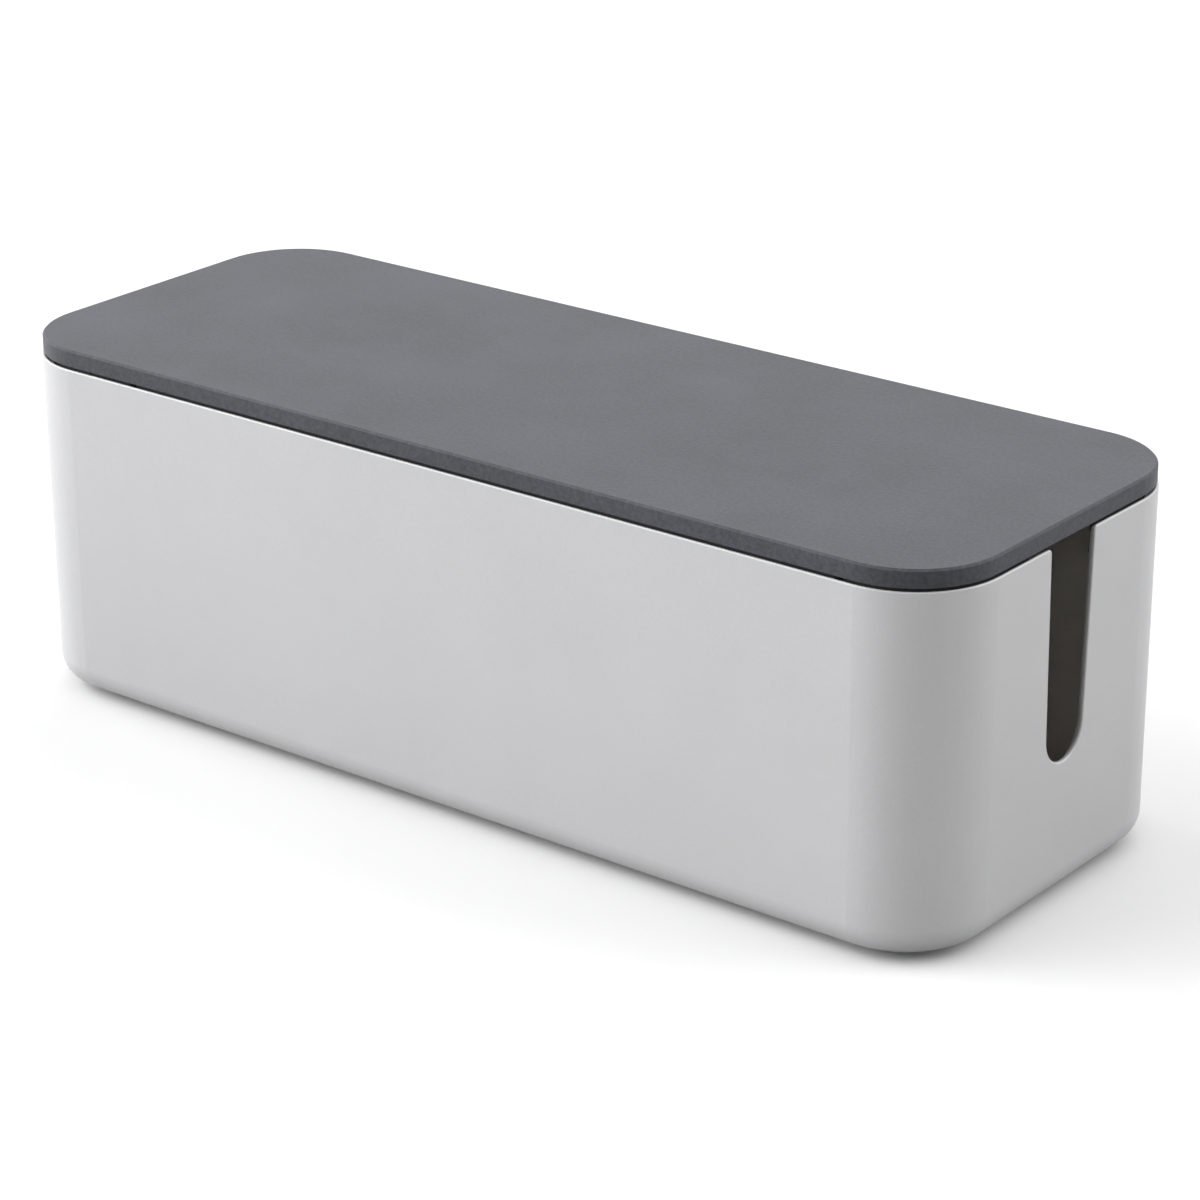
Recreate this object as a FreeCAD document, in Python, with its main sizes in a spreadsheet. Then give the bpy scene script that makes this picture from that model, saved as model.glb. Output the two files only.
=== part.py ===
import FreeCAD, Part
import math
import os
import Sketcher

# Cable management box: a drafted silver outer shell, a lighter liner inside it that the
# cables lie in, four rubber feet, and a lift-off lid made of a cover and a frame.
# X runs along the box, the long front faces -Y, Z is up and Z zero is the surface
# that the feet stand on. All sizes are millimetres, and angles are degrees.

document = FreeCAD.newDocument("cable_management_box")

# Driving sizes, each written once
SIZES = {
    # Overall outline, taken at the rim, where the drafted walls are widest
    "box_length": 400,
    "box_width": 150,
    "corner_radius": 32,
    "wall_draft": 0.25,
    # Outer shell
    "shell_height": 125,
    "shell_wall": 2,
    "shell_floor": 2,
    "shell_bottom_radius": 10,
    "shell_edge_radius": 0.5,
    "shell_inner_bevel": 1.2,
    # Cable slot, open at the rim, one in each end. Its mouth is rounded by more than the
    # shell's inner bevel, so that the two bevels inside the rim can meet.
    "slot_bottom_width": 21.6,
    "slot_draft": 1.7,
    "slot_sill": 48.6,
    "slot_corner_radius": 1.5,
    "slot_inner_bevel": 0.8,
    # Liner
    "liner_gap": 0.2,
    "liner_wall": 1.6,
    "liner_floor": 1.8,
    "liner_drop": 3,
    "liner_slot_step": 3.5,
    "liner_bottom_radius": 6,
    "liner_rib_wall": 1.6,
    "liner_rib_gap": 0.3,
    # Feet and the posts above them
    "foot_radius": 8,
    "foot_stand": 1.5,
    "foot_recess": 1,
    "foot_clearance": 0.2,
    "foot_bevel": 0.6,
    "foot_end_inset": 36,
    "foot_side_inset": 30,
    "foot_post_radius": 11,
    "foot_post_height": 3,
    "liner_post_radius": 5,
    "liner_post_height": 3.5,
    # Screws
    "screw_radius": 1.5,
    "screw_head_radius": 2.8,
    "screw_head_height": 1.6,
    "screw_clearance": 0.2,
    "screw_bite": 0.05,
    "screw_tip_gap": 0.4,
    "screw_head_sink": 2,
    "pilot_cap": 0.8,
    # Lid cover
    "lid_gap": 1,
    "cover_inset": 0.5,
    "cover_height": 6.3,
    "cover_wall": 1.75,
    "cover_skin": 2.2,
    "cover_top_bevel": 0.7,
    "cover_lower_radius": 0.4,
    "cover_post_radius": 3.5,
    # Lid frame
    "frame_gap": 0.3,
    "frame_plate": 2,
    "frame_sink": 0.2,
    "frame_rib_wall": 1.6,
    "frame_rib_depth": 6,
    "frame_rib_end_gap": 26,
    "skirt_clearance": 0.6,
    "skirt_wall": 1.8,
    "skirt_depth": 14,
    "skirt_slot_margin": 5.3,
    "skirt_tip_bevel": 0.5,
    "fixing_end_inset": 50,
    "fixing_side_inset": 27,
    # Rest pads under the lid
    "pad_length": 22,
    "pad_width": 4.4,
    "pad_clearance": 0.5,
    "pad_recess": 0.8,
    "pad_window_margin": 0.3,
    "pad_bevel": 0.5,
    "pad_corner_radius": 1.5,
    "pad_fit": 0.1,
    # Length by which a cutting shape runs past the surface it opens
    "overrun": 5,
}

# Levels and places worked out from the driving sizes
PLACES = {
    "draft_slope": "tan(Sizes.wall_draft)",
    "shell_bottom_level": "Sizes.foot_stand",
    "rim_level": "shell_bottom_level + Sizes.shell_height",
    "shell_floor_level": "shell_bottom_level + Sizes.shell_floor",
    "shell_inner_length": "Sizes.box_length - 2 * Sizes.shell_wall",
    "shell_inner_width": "Sizes.box_width - 2 * Sizes.shell_wall",
    "shell_inner_radius": "Sizes.corner_radius - Sizes.shell_wall",
    "shell_inner_height": "Sizes.shell_height - Sizes.shell_floor",
    "shell_cavity_radius": "Sizes.shell_bottom_radius - Sizes.shell_floor",
    "slot_radius": "Sizes.slot_bottom_width / 2",
    "slot_slope": "tan(Sizes.slot_draft)",
    "slot_centre_level": "shell_bottom_level + Sizes.slot_sill + slot_radius",
    "slot_corner_level": "rim_level - Sizes.slot_corner_radius",
    "slot_spread": "(slot_radius + Sizes.slot_corner_radius) / cos(Sizes.slot_draft)",
    "slot_reach": "slot_spread + (slot_corner_level - slot_centre_level) * slot_slope",
    "slot_top_level": "rim_level + Sizes.overrun",
    "slot_cut_length": "Sizes.box_length + 2 * Sizes.overrun",
    "liner_slot_radius": "slot_radius + Sizes.liner_slot_step",
    "liner_slot_spread": "Sizes.liner_slot_step / cos(Sizes.slot_draft)",
    "liner_slot_reach": "slot_reach + liner_slot_spread - Sizes.liner_drop * slot_slope",
    "foot_recess_level": "shell_bottom_level + Sizes.foot_recess",
    "foot_height": "foot_recess_level",
    "foot_recess_radius": "Sizes.foot_radius + Sizes.foot_clearance",
    "foot_x": "Sizes.box_length / 2 - Sizes.foot_end_inset",
    "foot_y": "Sizes.box_width / 2 - Sizes.foot_side_inset",
    "liner_seat_level": "shell_floor_level + Sizes.foot_post_height",
    "liner_bottom_level": "liner_seat_level + Sizes.liner_post_height",
    "liner_floor_level": "liner_bottom_level + Sizes.liner_floor",
    "liner_top_level": "rim_level - Sizes.liner_drop",
    "liner_height": "liner_top_level - liner_bottom_level",
    "liner_inner_height": "liner_top_level - liner_floor_level",
    "liner_offset": "Sizes.shell_wall + Sizes.liner_gap + Sizes.liner_drop * draft_slope",
    "liner_length": "Sizes.box_length - 2 * liner_offset",
    "liner_width": "Sizes.box_width - 2 * liner_offset",
    "liner_radius": "Sizes.corner_radius - liner_offset",
    "liner_inner_length": "liner_length - 2 * Sizes.liner_wall",
    "liner_inner_width": "liner_width - 2 * Sizes.liner_wall",
    "liner_inner_radius": "liner_radius - Sizes.liner_wall",
    "liner_cavity_radius": "Sizes.liner_bottom_radius - Sizes.liner_wall",
    "liner_rib_depth": "Sizes.liner_post_height - Sizes.liner_rib_gap",
    "screw_hole_radius": "Sizes.screw_radius + Sizes.screw_clearance",
    "screw_sink_radius": "Sizes.screw_head_radius + Sizes.screw_clearance",
    "pilot_radius": "Sizes.screw_radius + Sizes.screw_bite",
    "liner_clamp_level": "foot_recess_level + Sizes.screw_head_sink",
    "liner_pilot_level": "liner_floor_level - Sizes.pilot_cap",
    "liner_pilot_depth": "liner_pilot_level - liner_seat_level",
    "liner_screw_length": "liner_pilot_level - Sizes.screw_tip_gap - liner_clamp_level",
    "cover_bottom_level": "rim_level + Sizes.lid_gap",
    "cover_top_level": "cover_bottom_level + Sizes.cover_height",
    "cover_skin_level": "cover_top_level - Sizes.cover_skin",
    "cover_length": "Sizes.box_length - 2 * Sizes.cover_inset",
    "cover_width": "Sizes.box_width - 2 * Sizes.cover_inset",
    "cover_radius": "Sizes.corner_radius - Sizes.cover_inset",
    "cover_inner_length": "cover_length - 2 * Sizes.cover_wall",
    "cover_inner_width": "cover_width - 2 * Sizes.cover_wall",
    "cover_inner_radius": "cover_radius - Sizes.cover_wall",
    "cover_inner_height": "Sizes.cover_height - Sizes.cover_skin",
    "frame_length": "cover_inner_length - 2 * Sizes.frame_gap",
    "frame_width": "cover_inner_width - 2 * Sizes.frame_gap",
    "frame_radius": "cover_inner_radius - Sizes.frame_gap",
    "frame_bottom_level": "cover_bottom_level + Sizes.frame_sink",
    "frame_top_level": "frame_bottom_level + Sizes.frame_plate",
    "cover_post_height": "cover_skin_level - frame_top_level",
    "cover_pilot_level": "cover_top_level - Sizes.pilot_cap",
    "cover_pilot_depth": "cover_pilot_level - frame_top_level",
    "cover_screw_length": "cover_pilot_level - Sizes.screw_tip_gap - frame_bottom_level",
    "fixing_x": "Sizes.box_length / 2 - Sizes.fixing_end_inset",
    "fixing_y": "Sizes.box_width / 2 - Sizes.fixing_side_inset",
    "skirt_length": "liner_inner_length - 2 * Sizes.skirt_clearance",
    "skirt_width": "liner_inner_width - 2 * Sizes.skirt_clearance",
    "skirt_radius": "liner_inner_radius - Sizes.skirt_clearance",
    "skirt_inner_length": "skirt_length - 2 * Sizes.skirt_wall",
    "skirt_inner_width": "skirt_width - 2 * Sizes.skirt_wall",
    "skirt_inner_radius": "skirt_radius - Sizes.skirt_wall",
    "skirt_bottom_level": "frame_bottom_level - Sizes.skirt_depth",
    "skirt_slot_window": "slot_reach + Sizes.skirt_slot_margin",
    "frame_rib_x": "fixing_x / 2",
    "frame_rib_y": "fixing_y / 2",
    "frame_rib_end": "skirt_length / 2 - Sizes.frame_rib_end_gap",
    "pad_x": "fixing_x",
    "pad_y": "Sizes.box_width / 2 - Sizes.shell_wall - Sizes.pad_clearance - Sizes.pad_width / 2",
    "pad_top_level": "frame_bottom_level + Sizes.pad_recess",
    "pad_height": "pad_top_level - liner_top_level",
    "pad_window_half": "Sizes.pad_length / 2 + Sizes.pad_window_margin",
}


def spreadsheet(name, cells):
    sheet = document.addObject("Spreadsheet::Sheet", name)
    for row, (alias, value) in enumerate(cells.items(), start=1):
        sheet.set(f"A{row}", alias)
        sheet.setAlias(f"B{row}", alias)
        sheet.set(f"B{row}", str(value))
    document.recompute()
    return sheet


sizes = spreadsheet("Sizes", SIZES)
places = spreadsheet("Places", {alias: "=" + formula for alias, formula in PLACES.items()})


def amount(formula):
    return float(sizes.evalExpression(formula))


# Sketches, each bound to the two sheets by its dimensions

ORIGIN = (-1, 1)
ACROSS_AXIS, UP_AXIS = -1, -2
START, END, CENTRE = range(1, 4)
SIGNS = (1, -1)


def at(sign, formula):
    return formula if sign > 0 else f"-({formula})"


def origin_item(body, role):
    return [item for item in body.Origin.OriginFeatures if item.Role == role][0]


def new_body(name):
    body = document.addObject("PartDesign::Body", name)
    body.Label = name
    return body


def new_sketch(body, name, role="XY_Plane", level=None):
    sketch = body.newObject("Sketcher::SketchObject", f"{body.Label}_{name}")
    sketch.AttachmentSupport = [(origin_item(body, role), "")]
    sketch.MapMode = "FlatFace"
    if level:
        sketch.setExpression("AttachmentOffset.Base.z", level)
    return sketch


def dimension(sketch, kind, *ends, formula):
    number = sketch.addConstraint(Sketcher.Constraint(kind, *ends, amount(formula)))
    label = f"dimension_{number}"
    sketch.renameConstraint(number, label)
    sketch.setExpression(f"Constraints.{label}", formula)


def rounded_rectangle(sketch, length, width, radius):
    half_length = amount(length) / 2
    half_width = amount(width) / 2
    corner = amount(radius)
    side = half_length - corner
    end = half_width - corner
    first = sketch.GeometryCount
    lines = (
        ((-side, -half_width), (side, -half_width)),
        ((half_length, -end), (half_length, end)),
        ((side, half_width), (-side, half_width)),
        ((-half_length, end), (-half_length, -end)),
    )
    for start, finish in lines:
        sketch.addGeometry(Part.LineSegment(FreeCAD.Vector(*start), FreeCAD.Vector(*finish)))
    centres = ((side, -end), (side, end), (-side, end), (-side, -end))
    for turn, centre in enumerate(centres):
        circle = Part.Circle(FreeCAD.Vector(*centre), FreeCAD.Vector(0, 0, 1), corner)
        start_angle = math.radians(90 * turn - 90)
        sketch.addGeometry(Part.ArcOfCircle(circle, start_angle, start_angle + math.radians(90)))
    arcs = [first + 4 + turn for turn in range(4)]
    for turn, arc in enumerate(arcs):
        sketch.addConstraint(Sketcher.Constraint("Tangent", first + turn, END, arc, START))
        sketch.addConstraint(Sketcher.Constraint("Tangent", arc, END, first + (turn + 1) % 4, START))
    for arc in arcs[1:]:
        sketch.addConstraint(Sketcher.Constraint("Equal", arcs[0], arc))
    sketch.addConstraint(Sketcher.Constraint("Horizontal", first))
    sketch.addConstraint(Sketcher.Constraint("Horizontal", first + 2))
    sketch.addConstraint(Sketcher.Constraint("Vertical", first + 1))
    sketch.addConstraint(Sketcher.Constraint("Vertical", first + 3))
    sketch.addConstraint(Sketcher.Constraint("Symmetric", arcs[0], CENTRE, arcs[2], CENTRE, *ORIGIN))
    dimension(sketch, "DistanceX", first + 3, START, first + 1, START, formula=length)
    dimension(sketch, "DistanceY", first, START, first + 2, START, formula=width)
    dimension(sketch, "Radius", arcs[0], formula=radius)


def rectangle(sketch, left, right, front, back):
    corners = [(left, front), (right, front), (right, back), (left, back)]
    points = [FreeCAD.Vector(amount(across), amount(along), 0) for across, along in corners]
    first = sketch.GeometryCount
    for start, finish in zip(points, points[1:] + points[:1]):
        sketch.addGeometry(Part.LineSegment(start, finish))
    for turn in range(4):
        sketch.addConstraint(
            Sketcher.Constraint("Coincident", first + turn, END, first + (turn + 1) % 4, START)
        )
    sketch.addConstraint(Sketcher.Constraint("Horizontal", first))
    sketch.addConstraint(Sketcher.Constraint("Horizontal", first + 2))
    sketch.addConstraint(Sketcher.Constraint("Vertical", first + 1))
    sketch.addConstraint(Sketcher.Constraint("Vertical", first + 3))
    dimension(sketch, "DistanceX", *ORIGIN, first, START, formula=left)
    dimension(sketch, "DistanceX", *ORIGIN, first + 1, START, formula=right)
    dimension(sketch, "DistanceY", *ORIGIN, first, START, formula=front)
    dimension(sketch, "DistanceY", *ORIGIN, first + 2, START, formula=back)


def circle_at(sketch, across, along, radius):
    centre = FreeCAD.Vector(amount(across), amount(along), 0)
    number = sketch.addGeometry(Part.Circle(centre, FreeCAD.Vector(0, 0, 1), amount(radius)))
    if across == "0":
        sketch.addConstraint(Sketcher.Constraint("PointOnObject", number, CENTRE, UP_AXIS))
    else:
        dimension(sketch, "DistanceX", *ORIGIN, number, CENTRE, formula=across)
    dimension(sketch, "DistanceY", *ORIGIN, number, CENTRE, formula=along)
    dimension(sketch, "Radius", number, formula=radius)


def four_circles(sketch, across, along, radius):
    for x_sign in SIGNS:
        for y_sign in SIGNS:
            circle_at(sketch, at(x_sign, across), at(y_sign, along), radius)


# The reach is how far out the slot's rounded mouth ends, on the level of the mouth


def slot_outline(sketch, radius, reach, mouth):
    centre, top = "Places.slot_centre_level", "Places.slot_top_level"
    half = amount(radius)
    spread = amount(reach)
    middle = amount(centre)
    rim = amount(mouth)
    upper = amount(top)
    turn = amount("Sizes.slot_corner_radius")
    upright = FreeCAD.Vector(0, 0, 1)
    arcs = [
        sketch.addGeometry(Part.ArcOfCircle(Part.Circle(FreeCAD.Vector(*place), upright, size), *angles))
        for place, size, angles in (
            ((0, middle), half, (math.pi, 2 * math.pi)),
            ((spread, rim - turn), turn, (math.pi / 2, math.pi)),
            ((-spread, rim - turn), turn, (0, math.pi / 2)),
        )
    ]
    foot, right, left = arcs
    side_up, mouth_up, across, mouth_down, side_down = [
        sketch.addGeometry(Part.LineSegment(FreeCAD.Vector(*start), FreeCAD.Vector(*finish)))
        for start, finish in (
            ((half, middle), (spread - turn, rim - turn)),
            ((spread, rim), (spread, upper)),
            ((spread, upper), (-spread, upper)),
            ((-spread, upper), (-spread, rim)),
            ((turn - spread, rim - turn), (-half, middle)),
        )
    ]
    for kind, *ends in (
        ("Tangent", foot, END, side_up, START),
        ("Tangent", side_up, END, right, END),
        ("Coincident", right, START, mouth_up, START),
        ("Coincident", mouth_up, END, across, START),
        ("Coincident", across, END, mouth_down, START),
        ("Coincident", mouth_down, END, left, END),
        ("Tangent", left, START, side_down, START),
        ("Tangent", side_down, END, foot, START),
        ("Vertical", mouth_up),
        ("Horizontal", across),
        ("Vertical", mouth_down),
        ("Vertical", right, START, right, CENTRE),
        ("Vertical", left, END, left, CENTRE),
        ("Equal", right, left),
        ("PointOnObject", foot, CENTRE, UP_AXIS),
    ):
        sketch.addConstraint(Sketcher.Constraint(kind, *ends))
    dimension(sketch, "Radius", foot, formula=radius)
    dimension(sketch, "Radius", right, formula="Sizes.slot_corner_radius")
    dimension(sketch, "DistanceX", *ORIGIN, right, CENTRE, formula=reach)
    dimension(sketch, "DistanceX", *ORIGIN, left, CENTRE, formula=f"-{reach}")
    dimension(sketch, "DistanceY", *ORIGIN, foot, CENTRE, formula=centre)
    dimension(sketch, "DistanceY", *ORIGIN, right, START, formula=mouth)
    dimension(sketch, "DistanceY", *ORIGIN, left, END, formula=mouth)
    dimension(sketch, "DistanceY", *ORIGIN, across, START, formula=top)


def profile(sketch, corners):
    points = [FreeCAD.Vector(amount(across), amount(up), 0) for across, up in corners]
    first = sketch.GeometryCount
    count = len(points)
    for start, finish in zip(points, points[1:] + points[:1]):
        sketch.addGeometry(Part.LineSegment(start, finish))
    for turn in range(count):
        following = first + (turn + 1) % count
        sketch.addConstraint(Sketcher.Constraint("Coincident", first + turn, END, following, START))
        across, up = corners[turn]
        if across == "0":
            sketch.addConstraint(Sketcher.Constraint("PointOnObject", first + turn, START, UP_AXIS))
        else:
            dimension(sketch, "DistanceX", *ORIGIN, first + turn, START, formula=across)
        if up == "0":
            sketch.addConstraint(Sketcher.Constraint("PointOnObject", first + turn, START, ACROSS_AXIS))
        else:
            dimension(sketch, "DistanceY", *ORIGIN, first + turn, START, formula=up)


# Features on those sketches


def finished(feature):
    document.recompute()
    if "Invalid" in feature.State or feature.Shape.isNull():
        raise ValueError(f"{feature.Label} failed: {feature.State}")
    return feature


def extrude(body, kind, name, sketch, length, reverse=False, taper=None, both_ways=False):
    feature = body.newObject(f"PartDesign::{kind}", f"{body.Label}_{name}")
    feature.Profile = (sketch, [""])
    feature.Reversed = reverse
    feature.setExpression("Length", length)
    if taper:
        feature.setExpression("TaperAngle", taper)
    if both_ways:
        feature.SideType = "Symmetric"
    return finished(feature)


def pad(body, name, sketch, length, **options):
    return extrude(body, "Pad", name, sketch, length, **options)


def pocket(body, name, sketch, length, **options):
    before = body.Shape.Volume
    feature = extrude(body, "Pocket", name, sketch, length, **options)
    if not body.Shape.Volume < before:
        raise ValueError(f"{feature.Label} removes nothing")
    return feature


def dress_edges(body, kind, name, chosen):
    base = body.Tip
    edges = [f"Edge{number}" for number, edge in enumerate(base.Shape.Edges, start=1) if chosen(edge)]
    if not edges:
        raise ValueError(f"{body.Label}_{name} finds no edge")
    feature = body.newObject(f"PartDesign::{kind}", f"{body.Label}_{name}")
    feature.Base = (base, edges)
    return feature


def round_edges(body, name, radius, chosen):
    feature = dress_edges(body, "Fillet", name, chosen)
    feature.setExpression("Radius", radius)
    return finished(feature)


def bevel_edges(body, name, width, chosen):
    feature = dress_edges(body, "Chamfer", name, chosen)
    feature.setExpression("Size", width)
    return finished(feature)


def revolve(body, name, sketch):
    feature = body.newObject("PartDesign::Revolution", f"{body.Label}_{name}")
    feature.Profile = (sketch, [""])
    feature.ReferenceAxis = (sketch, ["V_Axis"])
    return finished(feature)


NEAR = 1e-4


def lies_at(level):
    height = amount(level)

    def chosen(edge):
        box = edge.BoundBox
        return abs(box.ZMin - height) < NEAR and abs(box.ZMax - height) < NEAR

    return chosen


# Outer shell: one moulding, open at the top, with a cable slot in each end


def lies_on_wall(point, depth="0"):
    lean = (amount("Places.rim_level") - point.z) * amount("Places.draft_slope") + amount(depth)
    corner = amount("Sizes.corner_radius")
    along = abs(point.x) - (amount("Sizes.box_length") / 2 - corner)
    across = abs(point.y) - (amount("Sizes.box_width") / 2 - corner)
    reach = math.hypot(max(along, 0), max(across, 0)) + min(max(along, across), 0)
    return abs(reach + lean - corner) < NEAR


def points_on(edge):
    return [edge.valueAt(parameter) for parameter in (
        edge.FirstParameter,
        (edge.FirstParameter + edge.LastParameter) / 2,
        edge.LastParameter,
    )]


def is_inner_rim(edge):
    on_outside = all(lies_on_wall(point) for point in points_on(edge))
    return lies_at("Places.rim_level")(edge) and not on_outside


def lie_at_slot(points):
    widest = amount("Places.slot_reach") + NEAR
    return all(abs(point.y) < widest for point in points)


def is_shell_lip(edge):
    points = points_on(edge)
    on_outside = all(lies_on_wall(point) for point in points)
    return on_outside and (lies_at("Places.rim_level")(edge) or lie_at_slot(points))


def is_inner_slot_edge(edge):
    points = points_on(edge)
    return lie_at_slot(points) and all(lies_on_wall(point, "Sizes.shell_wall") for point in points)


def make_outer_shell():
    body = new_body("outer_shell")
    outline = new_sketch(body, "outline", level="Places.rim_level")
    rounded_rectangle(outline, "Sizes.box_length", "Sizes.box_width", "Sizes.corner_radius")
    pad(body, "block", outline, "Sizes.shell_height", reverse=True, taper="-Sizes.wall_draft")

    inside = new_sketch(body, "inside", level="Places.rim_level")
    rounded_rectangle(
        inside, "Places.shell_inner_length", "Places.shell_inner_width", "Places.shell_inner_radius"
    )
    pocket(body, "cavity", inside, "Places.shell_inner_height", taper="-Sizes.wall_draft")
    round_edges(
        body, "cavity_round", "Places.shell_cavity_radius", lies_at("Places.shell_floor_level")
    )
    round_edges(
        body, "bottom_round", "Sizes.shell_bottom_radius", lies_at("Places.shell_bottom_level")
    )

    bevel_edges(body, "inner_bevel", "Sizes.shell_inner_bevel", is_inner_rim)

    slot = new_sketch(body, "slot", role="YZ_Plane")
    slot_outline(slot, "Places.slot_radius", "Places.slot_reach", "Places.rim_level")
    pocket(body, "slot_cut", slot, "Places.slot_cut_length", both_ways=True)
    round_edges(body, "lip_round", "Sizes.shell_edge_radius", is_shell_lip)
    bevel_edges(body, "slot_bevel", "Sizes.slot_inner_bevel", is_inner_slot_edge)

    posts = new_sketch(body, "posts", level="Places.shell_floor_level")
    four_circles(posts, "Places.foot_x", "Places.foot_y", "Sizes.foot_post_radius")
    pad(body, "foot_posts", posts, "Sizes.foot_post_height")
    recesses = new_sketch(body, "recesses", level="Places.shell_bottom_level")
    four_circles(recesses, "Places.foot_x", "Places.foot_y", "Places.foot_recess_radius")
    pocket(body, "foot_recesses", recesses, "Sizes.foot_recess", reverse=True)
    sinks = new_sketch(body, "sinks", level="Places.foot_recess_level")
    four_circles(sinks, "Places.foot_x", "Places.foot_y", "Places.screw_sink_radius")
    pocket(body, "screw_sinks", sinks, "Sizes.screw_head_sink", reverse=True)
    holes = new_sketch(body, "holes", level="Places.liner_seat_level")
    four_circles(holes, "Places.foot_x", "Places.foot_y", "Places.screw_hole_radius")
    pocket(body, "screw_holes", holes, "Places.liner_seat_level - Places.foot_recess_level")
    return body


# Liner: the tray inside the shell, standing on the four posts. Its slots are wider than
# the shell's, so that the edge of the slot is the shell's alone.


def make_inner_liner():
    body = new_body("inner_liner")
    outline = new_sketch(body, "outline", level="Places.liner_top_level")
    rounded_rectangle(outline, "Places.liner_length", "Places.liner_width", "Places.liner_radius")
    pad(body, "block", outline, "Places.liner_height", reverse=True, taper="-Sizes.wall_draft")

    inside = new_sketch(body, "inside", level="Places.liner_top_level")
    rounded_rectangle(
        inside, "Places.liner_inner_length", "Places.liner_inner_width", "Places.liner_inner_radius"
    )
    pocket(body, "cavity", inside, "Places.liner_inner_height", taper="-Sizes.wall_draft")
    round_edges(
        body, "cavity_round", "Places.liner_cavity_radius", lies_at("Places.liner_floor_level")
    )
    round_edges(
        body, "bottom_round", "Sizes.liner_bottom_radius", lies_at("Places.liner_bottom_level")
    )

    slot = new_sketch(body, "slot", role="YZ_Plane")
    slot_outline(slot, "Places.liner_slot_radius", "Places.liner_slot_reach", "Places.liner_top_level")
    pocket(body, "slot_cut", slot, "Places.slot_cut_length", both_ways=True)

    posts = new_sketch(body, "posts", level="Places.liner_bottom_level")
    four_circles(posts, "Places.foot_x", "Places.foot_y", "Sizes.liner_post_radius")
    pad(body, "seat_posts", posts, "Sizes.liner_post_height", reverse=True)
    long_ribs = new_sketch(body, "long_ribs", level="Places.liner_bottom_level")
    for sign in SIGNS:
        middle = at(sign, "Places.foot_y")
        rectangle(
            long_ribs,
            "-Places.foot_x",
            "Places.foot_x",
            f"{middle} - Sizes.liner_rib_wall / 2",
            f"{middle} + Sizes.liner_rib_wall / 2",
        )
    pad(body, "floor_long_ribs", long_ribs, "Places.liner_rib_depth", reverse=True)
    cross_ribs = new_sketch(body, "cross_ribs", level="Places.liner_bottom_level")
    for middle in ("-Places.foot_x", "0", "Places.foot_x"):
        rectangle(
            cross_ribs,
            f"{middle} - Sizes.liner_rib_wall / 2",
            f"{middle} + Sizes.liner_rib_wall / 2",
            "-Places.foot_y",
            "Places.foot_y",
        )
    pad(body, "floor_cross_ribs", cross_ribs, "Places.liner_rib_depth", reverse=True)
    pilots = new_sketch(body, "pilots", level="Places.liner_seat_level")
    four_circles(pilots, "Places.foot_x", "Places.foot_y", "Places.pilot_radius")
    pocket(body, "pilot_holes", pilots, "Places.liner_pilot_depth", reverse=True)
    return body


# Feet: rubber discs in the recesses under the shell, over the liner's screws


def make_foot(name, x_sign, y_sign):
    body = new_body(name)
    section = new_sketch(body, "section", role="XZ_Plane")
    profile(section, (
        ("0", "0"),
        ("Sizes.foot_radius", "0"),
        ("Sizes.foot_radius", "Places.foot_height"),
        ("0", "Places.foot_height"),
    ))
    revolve(body, "disc", section)
    bevel_edges(body, "edge_bevel", "Sizes.foot_bevel", lies_at("0"))
    body.setExpression("Placement.Base.x", at(x_sign, "Places.foot_x"))
    body.setExpression("Placement.Base.y", at(y_sign, "Places.foot_y"))
    return body


# Screws: plain heads and shanks, pointing up. One body holds each set, in two rows.


def make_screws(name, length, x_place, y_place, clamp_level, columns):
    body = new_body(name)
    body.AllowCompound = True
    section = new_sketch(body, "section", role="XZ_Plane")
    section.setExpression("AttachmentOffset.Base.x", f"-{x_place}")
    section.setExpression("AttachmentOffset.Base.y", clamp_level)
    section.setExpression("AttachmentOffset.Base.z", y_place)
    profile(section, (
        ("0", "-Sizes.screw_head_height"),
        ("Sizes.screw_head_radius", "-Sizes.screw_head_height"),
        ("Sizes.screw_head_radius", "0"),
        ("Sizes.screw_radius", "0"),
        ("Sizes.screw_radius", length),
        ("0", length),
    ))
    screw = revolve(body, "screw", section)
    row = document.addObject("PartDesign::LinearPattern", f"{name}_row")
    row.Direction = (origin_item(body, "X_Axis"), [""])
    row.setExpression("Length", f"2 * {x_place}")
    row.Occurrences = columns
    other_row = document.addObject("PartDesign::Mirrored", f"{name}_other_row")
    other_row.MirrorPlane = (origin_item(body, "XZ_Plane"), [""])
    whole_set = body.newObject("PartDesign::MultiTransform", f"{name}_set")
    whole_set.Originals = [screw]
    whole_set.Transformations = [row, other_row]
    body.Tip = whole_set
    document.recompute()
    return body


# Lid cover: the soft-touch cap that shows, hollow below, with a post for each screw


def is_cover_outer_edge(level):
    height = amount(level)
    widest = amount("Places.cover_inner_width / 2") + NEAR
    longest = amount("Places.cover_inner_length / 2") + NEAR

    def chosen(edge):
        box = edge.BoundBox
        outside = max(box.XMax, -box.XMin) > longest or max(box.YMax, -box.YMin) > widest
        return abs(box.ZMin - height) < NEAR and abs(box.ZMax - height) < NEAR and outside

    return chosen


def six_circles(sketch, radius):
    four_circles(sketch, "Places.fixing_x", "Places.fixing_y", radius)
    for sign in SIGNS:
        circle_at(sketch, "0", at(sign, "Places.fixing_y"), radius)


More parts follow.
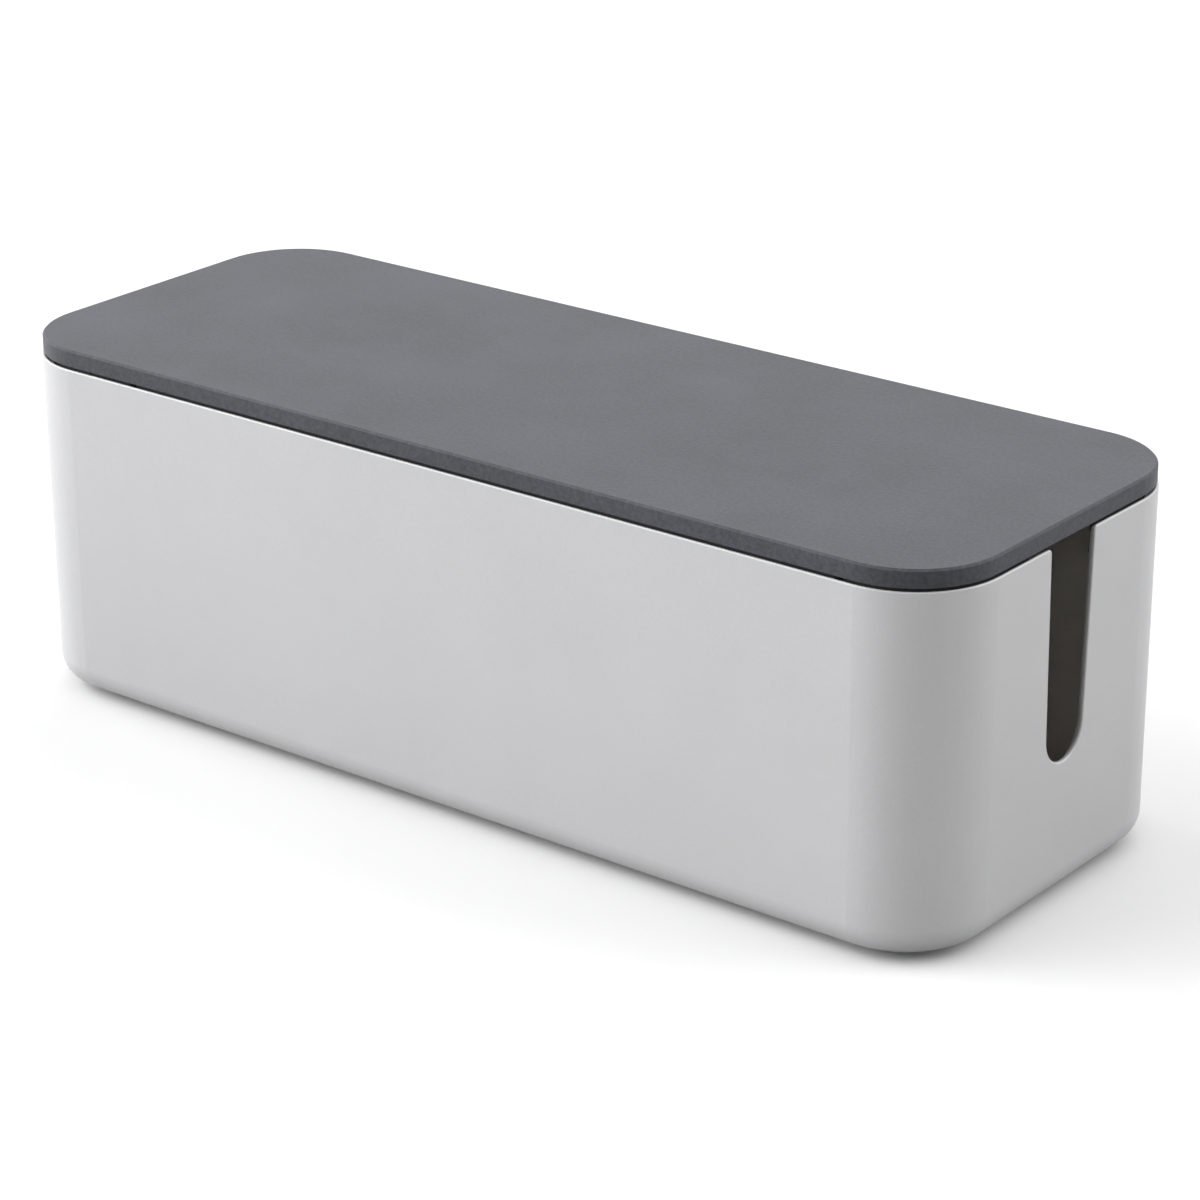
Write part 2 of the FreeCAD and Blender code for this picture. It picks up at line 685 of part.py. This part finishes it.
def make_lid_cover():
    body = new_body("lid_cover")
    outline = new_sketch(body, "outline", level="Places.cover_bottom_level")
    rounded_rectangle(outline, "Places.cover_length", "Places.cover_width", "Places.cover_radius")
    pad(body, "block", outline, "Sizes.cover_height")
    bevel_edges(body, "top_bevel", "Sizes.cover_top_bevel", lies_at("Places.cover_top_level"))
    inside = new_sketch(body, "inside", level="Places.cover_bottom_level")
    rounded_rectangle(
        inside, "Places.cover_inner_length", "Places.cover_inner_width", "Places.cover_inner_radius"
    )
    pocket(body, "hollow", inside, "Places.cover_inner_height", reverse=True)
    round_edges(
        body, "lower_round", "Sizes.cover_lower_radius", is_cover_outer_edge("Places.cover_bottom_level")
    )
    posts = new_sketch(body, "posts", level="Places.cover_skin_level")
    six_circles(posts, "Sizes.cover_post_radius")
    pad(body, "screw_posts", posts, "Places.cover_post_height", reverse=True)
    pilots = new_sketch(body, "pilots", level="Places.frame_top_level")
    six_circles(pilots, "Places.pilot_radius")
    pocket(body, "pilot_holes", pilots, "Places.cover_pilot_depth", reverse=True)
    return body


# Lid frame: a ribbed plate inside the cover, whose skirt drops into the liner and
# keeps the lid in line. The skirt is open at the cable slots and at the rest pads.


def make_lid_frame():
    body = new_body("lid_frame")
    outline = new_sketch(body, "outline", level="Places.frame_bottom_level")
    rounded_rectangle(outline, "Places.frame_length", "Places.frame_width", "Places.frame_radius")
    pad(body, "plate", outline, "Sizes.frame_plate")

    ring = new_sketch(body, "ring", level="Places.frame_bottom_level")
    rounded_rectangle(ring, "Places.skirt_length", "Places.skirt_width", "Places.skirt_radius")
    rounded_rectangle(
        ring, "Places.skirt_inner_length", "Places.skirt_inner_width", "Places.skirt_inner_radius"
    )
    pad(body, "skirt", ring, "Sizes.skirt_depth", reverse=True)
    bevel_edges(body, "skirt_tip_bevel", "Sizes.skirt_tip_bevel", lies_at("Places.skirt_bottom_level"))

    windows = new_sketch(body, "windows", level="Places.frame_bottom_level")
    for sign in SIGNS:
        inner, outer = sorted_ends(
            sign, "Places.skirt_inner_length / 2 - Sizes.skirt_wall", "Places.frame_length / 2"
        )
        rectangle(windows, inner, outer, "-Places.skirt_slot_window", "Places.skirt_slot_window")
    for x_sign in SIGNS:
        middle = at(x_sign, "Places.pad_x")
        for y_sign in SIGNS:
            inner, outer = sorted_ends(
                y_sign, "Places.skirt_inner_width / 2 - Sizes.skirt_wall", "Places.frame_width / 2"
            )
            rectangle(
                windows,
                f"{middle} - Places.pad_window_half",
                f"{middle} + Places.pad_window_half",
                inner,
                outer,
            )
    pocket(body, "skirt_windows", windows, "Sizes.skirt_depth + Sizes.overrun")

    cross_ribs = new_sketch(body, "cross_ribs", level="Places.frame_bottom_level")
    rib_reach = "(Places.skirt_inner_width + Sizes.skirt_wall) / 2"
    for middle in ("-Places.frame_rib_x", "Places.frame_rib_x"):
        rectangle(
            cross_ribs,
            f"{middle} - Sizes.frame_rib_wall / 2",
            f"{middle} + Sizes.frame_rib_wall / 2",
            f"-{rib_reach}",
            rib_reach,
        )
    pad(body, "cross_rib_set", cross_ribs, "Sizes.frame_rib_depth", reverse=True)
    long_ribs = new_sketch(body, "long_ribs", level="Places.frame_bottom_level")
    for sign in SIGNS:
        middle = at(sign, "Places.frame_rib_y")
        rectangle(
            long_ribs,
            "-Places.frame_rib_end",
            "Places.frame_rib_end",
            f"{middle} - Sizes.frame_rib_wall / 2",
            f"{middle} + Sizes.frame_rib_wall / 2",
        )
    pad(body, "long_rib_set", long_ribs, "Sizes.frame_rib_depth", reverse=True)

    holes = new_sketch(body, "holes", level="Places.frame_top_level")
    six_circles(holes, "Places.screw_hole_radius")
    pocket(body, "screw_holes", holes, "Sizes.frame_plate")
    seats = new_sketch(body, "seats", level="Places.frame_bottom_level")
    for x_sign in SIGNS:
        for y_sign in SIGNS:
            across = at(x_sign, "Places.pad_x")
            along = at(y_sign, "Places.pad_y")
            rectangle(
                seats,
                f"{across} - Sizes.pad_length / 2 - Sizes.pad_fit",
                f"{across} + Sizes.pad_length / 2 + Sizes.pad_fit",
                f"{along} - Sizes.pad_width / 2 - Sizes.pad_fit",
                f"{along} + Sizes.pad_width / 2 + Sizes.pad_fit",
            )
    pocket(body, "pad_seats", seats, "Sizes.pad_recess", reverse=True)
    return body


def sorted_ends(sign, inner, outer):
    ends = (at(sign, inner), at(sign, outer))
    return ends if sign > 0 else ends[::-1]


# Rest pads: rubber blocks let into the frame, which stand on the liner's top edge and
# hold the lid a narrow gap above the shell's rim


def make_rest_pad(name, x_sign, y_sign):
    body = new_body(name)
    outline = new_sketch(body, "outline")
    rounded_rectangle(outline, "Sizes.pad_length", "Sizes.pad_width", "Sizes.pad_corner_radius")
    pad(body, "block", outline, "Places.pad_height")
    bevel_edges(body, "edge_bevel", "Sizes.pad_bevel", lies_at("0"))
    body.setExpression("Placement.Base.x", at(x_sign, "Places.pad_x"))
    body.setExpression("Placement.Base.y", at(y_sign, "Places.pad_y"))
    body.setExpression("Placement.Base.z", "Places.liner_top_level")
    return body


CORNERS = {
    "front_left": (-1, -1),
    "front_right": (1, -1),
    "rear_left": (-1, 1),
    "rear_right": (1, 1),
}


def make_box():
    bodies = [make_outer_shell(), make_inner_liner()]
    bodies += [make_foot(f"foot_{corner}", *signs) for corner, signs in CORNERS.items()]
    bodies.append(make_screws(
        "liner_screws",
        "Places.liner_screw_length",
        "Places.foot_x",
        "Places.foot_y",
        "Places.liner_clamp_level",
        columns=2,
    ))
    bodies += [make_lid_cover(), make_lid_frame()]
    bodies += [make_rest_pad(f"rest_pad_{corner}", *signs) for corner, signs in CORNERS.items()]
    bodies.append(make_screws(
        "lid_screws",
        "Places.cover_screw_length",
        "Places.fixing_x",
        "Places.fixing_y",
        "Places.frame_bottom_level",
        columns=3,
    ))
    return bodies


def check(bodies):
    document.recompute()
    for item in document.Objects:
        if "Invalid" in item.State or "Error" in item.State:
            raise ValueError(f"{item.Label} failed: {item.State}")
    for body in bodies:
        if body.Shape.isNull() or not body.Shape.isValid():
            raise ValueError(f"{body.Label} has no valid shape")


def export(bodies):
    os.makedirs("parts", exist_ok=True)
    for body in bodies:
        body.Shape.exportStep(f"parts/{body.Label}.step")
        volume = body.Shape.Volume / 1000
        print(f"{body.Label}: {len(body.Shape.Solids)} solids, {volume:.2f} cubic centimetres")


pieces = make_box()
check(pieces)
export(pieces)
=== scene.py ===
from math import radians

import bmesh
import bpy
from mathutils import Matrix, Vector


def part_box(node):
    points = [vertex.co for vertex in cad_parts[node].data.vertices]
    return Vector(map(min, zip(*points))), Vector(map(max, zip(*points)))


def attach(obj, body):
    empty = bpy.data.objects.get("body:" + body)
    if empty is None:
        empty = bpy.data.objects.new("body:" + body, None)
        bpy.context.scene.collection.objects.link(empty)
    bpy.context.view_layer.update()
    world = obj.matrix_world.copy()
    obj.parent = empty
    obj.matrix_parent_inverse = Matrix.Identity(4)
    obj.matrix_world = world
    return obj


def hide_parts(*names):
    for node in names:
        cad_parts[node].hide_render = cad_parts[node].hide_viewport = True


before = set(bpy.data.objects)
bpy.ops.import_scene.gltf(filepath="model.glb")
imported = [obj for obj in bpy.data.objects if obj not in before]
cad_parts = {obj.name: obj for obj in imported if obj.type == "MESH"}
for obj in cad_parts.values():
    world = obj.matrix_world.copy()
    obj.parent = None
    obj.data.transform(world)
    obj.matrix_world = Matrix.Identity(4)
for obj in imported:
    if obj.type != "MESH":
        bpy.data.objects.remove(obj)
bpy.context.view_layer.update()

# Outer shell: one thin moulding, coated outside with a satin silver paint whose fine
# metal flake lies under a matt lacquer. The paint is even, with no seam or join.

SILVER = (0.667, 0.668, 0.679, 1.0)


def socket(tree, kind, name, start, direction="INPUT"):
    made = tree.interface.new_socket(name=name, in_out=direction, socket_type=f"NodeSocket{kind}")
    if direction == "INPUT":
        made.default_value = start
    return made


NOISE_LOW, NOISE_HIGH = 0.25, 0.75


def build_moulded_grain():
    """A fine even grain and a slow cloud over it, as moulded and sprayed skins have."""
    tree = bpy.data.node_groups.new("moulded_grain", "ShaderNodeTree")
    socket(tree, "Color", "Color", (0.5, 0.5, 0.5, 1.0))
    socket(tree, "Float", "Grains per Metre", 2000.0)
    socket(tree, "Float", "Tone Spread", 0.03)
    socket(tree, "Float", "Clouds per Metre", 25.0)
    socket(tree, "Float", "Cloud Spread", 0.02)
    socket(tree, "Float", "Roughness", 0.5)
    socket(tree, "Float", "Roughness Spread", 0.05)
    socket(tree, "Color", "Color", None, "OUTPUT")
    socket(tree, "Float", "Roughness", None, "OUTPUT")
    socket(tree, "Float", "Height", None, "OUTPUT")
    nodes, links = tree.nodes, tree.links
    given = nodes.new("NodeGroupInput")
    result = nodes.new("NodeGroupOutput")
    place = nodes.new("ShaderNodeTexCoord")

    grain = nodes.new("ShaderNodeTexNoise")
    grain.inputs["Detail"].default_value = 3.0
    grain.inputs["Roughness"].default_value = 0.65
    cloud = nodes.new("ShaderNodeTexNoise")
    cloud.inputs["Detail"].default_value = 5.0
    cloud.inputs["Roughness"].default_value = 0.6
    for noise, scale in ((grain, "Grains per Metre"), (cloud, "Clouds per Metre")):
        links.new(place.outputs["Object"], noise.inputs["Vector"])
        links.new(given.outputs[scale], noise.inputs["Scale"])

    def swing(noise, spread):
        """The noise about its middle, from minus the spread to plus the spread."""
        centred = nodes.new("ShaderNodeMapRange")
        centred.inputs["From Min"].default_value = NOISE_LOW
        centred.inputs["From Max"].default_value = NOISE_HIGH
        centred.inputs["To Min"].default_value = -1.0
        scaled = nodes.new("ShaderNodeMath")
        scaled.operation = "MULTIPLY"
        links.new(noise.outputs["Fac"], centred.inputs["Value"])
        links.new(centred.outputs["Result"], scaled.inputs[0])
        links.new(given.outputs[spread], scaled.inputs[1])
        return scaled.outputs["Value"]

    def total(first, second):
        added = nodes.new("ShaderNodeMath")
        links.new(first, added.inputs[0])
        if isinstance(second, float):
            added.inputs[1].default_value = second
        else:
            links.new(second, added.inputs[1])
        return added.outputs["Value"]

    tone = total(swing(grain, "Tone Spread"), swing(cloud, "Cloud Spread"))
    shade = nodes.new("ShaderNodeVectorMath")
    shade.operation = "SCALE"
    links.new(given.outputs["Color"], shade.inputs[0])
    links.new(total(tone, 1.0), shade.inputs["Scale"])
    links.new(shade.outputs["Vector"], result.inputs["Color"])
    roughness = total(given.outputs["Roughness"], swing(grain, "Roughness Spread"))
    links.new(roughness, result.inputs["Roughness"])
    links.new(grain.outputs["Fac"], result.inputs["Height"])
    return tree


moulded_grain = build_moulded_grain()


def moulded_material(name, color, grains, tone, clouds, cloud_tone, roughness, spread, relief):
    """A skin with the grain over it. Grains and clouds are counted per metre, the two tones
    are shares of the color, and the relief is the depth of the grain in metres."""
    material = bpy.data.materials.new(name)
    material.use_nodes = True
    nodes, links = material.node_tree.nodes, material.node_tree.links
    shader = nodes["Principled BSDF"]
    skin = nodes.new("ShaderNodeGroup")
    skin.node_tree = moulded_grain
    for label, value in (
        ("Color", color),
        ("Grains per Metre", grains),
        ("Tone Spread", tone),
        ("Clouds per Metre", clouds),
        ("Cloud Spread", cloud_tone),
        ("Roughness", roughness),
        ("Roughness Spread", spread),
    ):
        skin.inputs[label].default_value = value
    bump = nodes.new("ShaderNodeBump")
    bump.inputs["Distance"].default_value = relief
    links.new(skin.outputs["Height"], bump.inputs["Height"])
    links.new(skin.outputs["Color"], shader.inputs["Base Color"])
    links.new(skin.outputs["Roughness"], shader.inputs["Roughness"])
    links.new(bump.outputs["Normal"], shader.inputs["Normal"])
    return material, shader


def dress(node, material):
    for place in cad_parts[node].material_slots:
        place.material = material


shell_paint, shader = moulded_material(
    "satin_silver_paint",
    SILVER,
    grains=1500,
    tone=0.035,
    clouds=20.0,
    cloud_tone=0.026,
    roughness=0.42,
    spread=0.05,
    relief=0.000004,
)
shader.inputs["Metallic"].default_value = 0.15
dress("outer_shell", shell_paint)

# Liner: the tray that stands inside the shell and shows through the cable slot. It is
# moulded in a light warm grey plastic with a fine matt texture, and screwed from below.

WARM_GREY = (0.862, 0.823, 0.766, 1.0)

liner_plastic, shader = moulded_material(
    "warm_grey_plastic",
    WARM_GREY,
    grains=1800,
    tone=0.04,
    clouds=20.0,
    cloud_tone=0.03,
    roughness=0.55,
    spread=0.06,
    relief=0.00002,
)
dress("inner_liner", liner_plastic)

# Lid cover: a charcoal cap with a soft-touch coat, very fine and dull, which is a little
# lighter where it is seen at a low angle. Its edge is bevelled, and screws hold the frame
# in it from below.

CHARCOAL = (0.0852, 0.0874, 0.1008, 1.0)

cover_coat, shader = moulded_material(
    "charcoal_soft_touch",
    CHARCOAL,
    grains=680,
    tone=0.31,
    clouds=24.0,
    cloud_tone=0.14,
    roughness=0.58,
    spread=0.06,
    relief=0.00001,
)
shader.inputs["Specular IOR Level"].default_value = 0.185
shader.inputs["Sheen Weight"].default_value = 0.10
shader.inputs["Sheen Roughness"].default_value = 0.5
dress("lid_cover", cover_coat)

# Lid frame: the plate, skirt and ribs under the cover, one moulding in a dark grey plastic
# with a fine matt texture. It lies up inside the cover, and six screws hold it there.

DARK_GREY = (0.11, 0.108, 0.105, 1.0)

frame_plastic, shader = moulded_material(
    "black_frame_plastic",
    DARK_GREY,
    grains=1800,
    tone=0.06,
    clouds=20.0,
    cloud_tone=0.04,
    roughness=0.5,
    spread=0.06,
    relief=0.00002,
)
dress("lid_frame", frame_plastic)

# Feet under the shell and rest pads under the lid: black rubber, cut from moulded sheet
# and pressed into their seats.

BLACK = (0.026, 0.026, 0.026, 1.0)

rubber, shader = moulded_material(
    "black_rubber",
    BLACK,
    grains=1100,
    tone=0.10,
    clouds=60.0,
    cloud_tone=0.08,
    roughness=0.78,
    spread=0.08,
    relief=0.00004,
)
for corner in ("front_left", "front_right", "rear_left", "rear_right"):
    dress(f"foot_{corner}", rubber)
    dress(f"rest_pad_{corner}", rubber)

# Screws: pan-head self-tapping screws of zinc-plated steel, with a cross recess and a
# coarse thread. Four go up through the shell's floor into the liner, under the feet, and
# six go up through the frame into the cover.

HEAD_RADIUS = 0.0028
HEAD_HEIGHT = 0.0016
HEAD_CROWN = ((HEAD_RADIUS, -0.0005), (0.0027, -0.0010), (0.00235, -0.0014), (0.0018, -HEAD_HEIGHT))
CORE_RADIUS = 0.00115
THREAD_RADIUS = 0.0015
THREAD_PITCH = 0.0012
THREAD_HALF_BASE = 0.0004
THREAD_SINK = 0.0001
THREAD_START = 0.0007
TIP_LENGTH = 0.0008
TIP_RADIUS = 0.0004
RECESS_REACH = 0.0014
RECESS_ARM = 0.65
RECESS_DEPTH = 0.0009
RECESS_TAPER = 0.6
ROUND_STEPS = 24
SHARP_ANGLE = 35


def once_each(items):
    """The items without repeats, in one fixed order, which a set does not keep."""
    return list(dict.fromkeys(items))


def cut_cross_recess(screw, rim):
    """Opens a tapered cross in the head's crown and joins it to the crown's inner ring."""
    grid = bmesh.ops.create_grid(
        screw,
        x_segments=3,
        y_segments=3,
        size=RECESS_REACH,
        matrix=Matrix.Translation((0, 0, -HEAD_HEIGHT)),
    )
    cross = once_each(face for vertex in grid["verts"] for face in vertex.link_faces)
    corners = [
        face
        for face in cross
        if min(abs(place) for place in face.calc_center_median().xy) > RECESS_REACH / 2
    ]
    bmesh.ops.delete(screw, geom=corners, context="FACES")
    cross = [face for face in cross if face.is_valid]
    for vertex in once_each(vertex for face in cross for vertex in face.verts):
        for axis in range(2):
            if abs(vertex.co[axis]) < RECESS_REACH / 2:
                vertex.co[axis] *= RECESS_ARM
    outline = once_each(edge for face in cross for edge in face.edges if edge.is_boundary)
    bmesh.ops.triangle_fill(screw, edges=outline + rim, use_beauty=True)
    sunk = bmesh.ops.extrude_face_region(screw, geom=cross)
    sunk = [item for item in sunk["geom"] if isinstance(item, bmesh.types.BMVert)]
    bmesh.ops.delete(screw, geom=[face for face in cross if face.is_valid], context="FACES")
    bmesh.ops.scale(screw, vec=(RECESS_TAPER, RECESS_TAPER, 1), verts=sunk)
    bmesh.ops.translate(screw, vec=(0, 0, RECESS_DEPTH), verts=sunk)


def build_screw(length):
    """One screw that points up, with the underside of its head at zero."""
    screw = bmesh.new()
    sections = [(radius, level) for radius, level in reversed(HEAD_CROWN)]
    sections += [(HEAD_RADIUS, 0), (CORE_RADIUS, 0)]
    sections += [(CORE_RADIUS, length - TIP_LENGTH), (TIP_RADIUS, length)]
    profile = [screw.verts.new((radius, 0, level)) for radius, level in sections]
    sides = [screw.edges.new(pair) for pair in zip(profile, profile[1:])]
    bmesh.ops.spin(
        screw,
        geom=profile + sides,
        cent=(0, 0, 0),
        axis=(0, 0, 1),
        angle=radians(360),
        steps=ROUND_STEPS,
        use_merge=True,
    )
    open_edges = [edge for edge in screw.edges if edge.is_boundary]
    bmesh.ops.contextual_create(screw, geom=[edge for edge in open_edges if edge.verts[0].co.z > 0])
    cut_cross_recess(screw, [edge for edge in open_edges if edge.verts[0].co.z < 0])

    turns = int((length - THREAD_START - TIP_LENGTH) / THREAD_PITCH)
    steps = turns * ROUND_STEPS
    base = CORE_RADIUS - THREAD_SINK
    ridge = [
        screw.verts.new((base, 0, THREAD_START - THREAD_HALF_BASE)),
        screw.verts.new((THREAD_RADIUS, 0, THREAD_START)),
        screw.verts.new((base, 0, THREAD_START + THREAD_HALF_BASE)),
    ]
    section = screw.faces.new(ridge)
    bmesh.ops.spin(
        screw,
        geom=[section, *section.edges, *section.verts],
        cent=(0, 0, 0),
        axis=(0, 0, 1),
        dvec=(0, 0, turns * THREAD_PITCH / steps),
        angle=radians(360 * turns),
        steps=steps,
    )
    bmesh.ops.recalc_face_normals(screw, faces=screw.faces)
    return screw


def fit_screws(name, node, body, columns):
    """Puts a row of screws at each side of the node's box, and replaces the plain ones."""
    low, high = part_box(node)
    clamp_level = low[2] + HEAD_HEIGHT
    screw = build_screw(high[2] - clamp_level)
    one = bpy.data.meshes.new(f"{name}_one")
    screw.to_mesh(one)
    screw.free()
    whole = bmesh.new()
    for side in (low[1] + HEAD_RADIUS, high[1] - HEAD_RADIUS):
        for column in range(columns):
            first, last = low[0] + HEAD_RADIUS, high[0] - HEAD_RADIUS
            along = first + (last - first) * column / (columns - 1)
            placed = one.copy()
            placed.transform(Matrix.Translation((along, side, clamp_level)))
            whole.from_mesh(placed)
            bpy.data.meshes.remove(placed)
    bpy.data.meshes.remove(one)
    mesh = bpy.data.meshes.new(name)
    whole.to_mesh(mesh)
    whole.free()
    mesh.shade_smooth()
    mesh.set_sharp_from_angle(angle=radians(SHARP_ANGLE))
    mesh.materials.append(screw_steel)
    piece = bpy.data.objects.new(name, mesh)
    bpy.context.scene.collection.objects.link(piece)
    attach(piece, body)
    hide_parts(node)


ZINC = (0.56, 0.57, 0.58, 1.0)

screw_steel, shader = moulded_material(
    "zinc_plated_steel",
    ZINC,
    grains=3000,
    tone=0.05,
    clouds=90.0,
    cloud_tone=0.06,
    roughness=0.34,
    spread=0.08,
    relief=0.000005,
)
shader.inputs["Metallic"].default_value = 1.0
dress("liner_screws", screw_steel)
dress("lid_screws", screw_steel)
fit_screws("threaded_liner_screws", "liner_screws", "box", columns=2)
fit_screws("threaded_lid_screws", "lid_screws", "lid", columns=3)

# Floor: a plain white studio sweep, dull, that keeps the box's soft shadow. Seen straight
# or in a gloss it is white, and for light that bounces off it it is a mid grey.

FLOOR_REACH = 30.0
FLOOR_SEEN = (1.0, 1.0, 1.0, 1.0)
FLOOR_BOUNCE = (0.36, 0.36, 0.36, 1.0)


def seen_by_eye(tree):
    """One where a ray comes from the camera, a gloss or clear plastic, and zero elsewhere."""
    path = tree.nodes.new("ShaderNodeLightPath")
    seen = path.outputs["Is Camera Ray"]
    for name in ("Is Glossy Ray", "Is Transmission Ray"):
        added = tree.nodes.new("ShaderNodeMath")
        added.use_clamp = True
        tree.links.new(seen, added.inputs[0])
        tree.links.new(path.outputs[name], added.inputs[1])
        seen = added.outputs["Value"]
    return seen


def choice(tree, chooser, usual, seen):
    """The usual color where the chooser is zero, and the seen one where it is one."""
    mix = tree.nodes.new("ShaderNodeMix")
    mix.data_type = "RGBA"
    tree.links.new(chooser, mix.inputs["Factor"])
    for name, value in (("A", usual), ("B", seen)):
        [item for item in mix.inputs if item.name == name and item.type == "RGBA"][0].default_value = value
    return [item for item in mix.outputs if item.type == "RGBA"][0]


sheet = bmesh.new()
bmesh.ops.create_grid(sheet, x_segments=1, y_segments=1, size=FLOOR_REACH)
floor_mesh = bpy.data.meshes.new("studio_floor")
sheet.to_mesh(floor_mesh)
sheet.free()
floor = bpy.data.objects.new("studio_floor", floor_mesh)
bpy.context.scene.collection.objects.link(floor)
floor_paint = bpy.data.materials.new("studio_floor")
floor_paint.use_nodes = True
floor_tree = floor_paint.node_tree
floor_shader = floor_tree.nodes["Principled BSDF"]
floor_shader.inputs["Roughness"].default_value = 1.0
floor_shader.inputs["Specular IOR Level"].default_value = 0.0
floor_color = choice(floor_tree, seen_by_eye(floor_tree), FLOOR_BOUNCE, FLOOR_SEEN)
floor_tree.links.new(floor_color, floor_shader.inputs["Base Color"])
floor_mesh.materials.append(floor_paint)

# Backdrop and lamps: white all round for the eye, which gives no light, and soft lamps as
# in a small studio. Broad ones stand overhead, at the left front and behind the right end,
# so that the near corner stays darker. A weak one beside the camera reaches into the slot.

BACKDROP_SEEN = (1.0, 1.0, 1.0, 1.0)
BACKDROP_LIGHT = (0.0, 0.0, 0.0, 1.0)

world = bpy.data.worlds.new("studio")
world.use_nodes = True
bpy.context.scene.world = world
backdrop = world.node_tree.nodes["Background"]
world_color = choice(world.node_tree, seen_by_eye(world.node_tree), BACKDROP_LIGHT, BACKDROP_SEEN)
world.node_tree.links.new(world_color, backdrop.inputs["Color"])


def aimed_from(azimuth, elevation):
    """Turns a lamp or camera to look back from there. Azimuth is 0 at the long front and
    90 degrees at the right end."""
    return Matrix.Rotation(radians(azimuth), 4, "Z") @ Matrix.Rotation(radians(90 - elevation), 4, "X")


def hang_lamp(name, kind, strength, place):
    lamp_data = bpy.data.lights.new(name, kind)
    lamp_data.energy = strength
    lamp = bpy.data.objects.new(name, lamp_data)
    lamp.matrix_world = place
    bpy.context.scene.collection.objects.link(lamp)
    return lamp_data


for name, azimuth, elevation, strength, spread in (
    ("overhead_lamp", 0, 88, 1.20, 80),
    ("front_lamp", -45, 30, 0.67, 50),
    ("low_front_lamp", -45, 10, 0.80, 30),
    ("left_lamp", -80, 25, 1.19, 50),
    ("end_lamp", 135, 30, 1.51, 50),
    ("back_lamp", 190, 50, 0.55, 50),
    ("camera_lamp", 30.3, 23, 0.11, 10),
):
    hang_lamp(name, "SUN", strength, aimed_from(azimuth, elevation)).angle = radians(spread)

PANEL_AZIMUTH = -60
PANEL_ELEVATION = 30
PANEL_DISTANCE = 1.4
PANEL_SIZE = 1.0
PANEL_WATTS = 5.5

panel_place = aimed_from(PANEL_AZIMUTH, PANEL_ELEVATION) @ Matrix.Translation((0, 0, PANEL_DISTANCE))
hang_lamp("left_panel", "AREA", PANEL_WATTS, panel_place).size = PANEL_SIZE

# Camera: a long lens from above the near corner, placed by a fit of the outline, the lid's
# edges and the slot. The aim is the middle of the box, and the offsets frame it.

AIM = (0.0, 0.0, 0.0685)
CAMERA_AZIMUTH = 38.302
CAMERA_ELEVATION = 21.944
CAMERA_ROLL = -0.271
CAMERA_DISTANCE = 1.31884
CAMERA_ASIDE = 0.009152
CAMERA_DOWN = 0.011253
LENS_MM = 113.84
SENSOR_MM = 36.0

camera_data = bpy.data.cameras.new("camera")
camera_data.sensor_fit = "HORIZONTAL"
camera_data.sensor_width = SENSOR_MM
camera_data.lens = LENS_MM
camera = bpy.data.objects.new("camera", camera_data)
camera.matrix_world = (
    Matrix.Translation(AIM)
    @ aimed_from(CAMERA_AZIMUTH, CAMERA_ELEVATION)
    @ Matrix.Rotation(radians(CAMERA_ROLL), 4, "Z")
    @ Matrix.Translation((CAMERA_ASIDE, -CAMERA_DOWN, CAMERA_DISTANCE))
)
bpy.context.scene.collection.objects.link(camera)
bpy.context.scene.camera = camera
bpy.context.scene.view_settings.view_transform = "Standard"
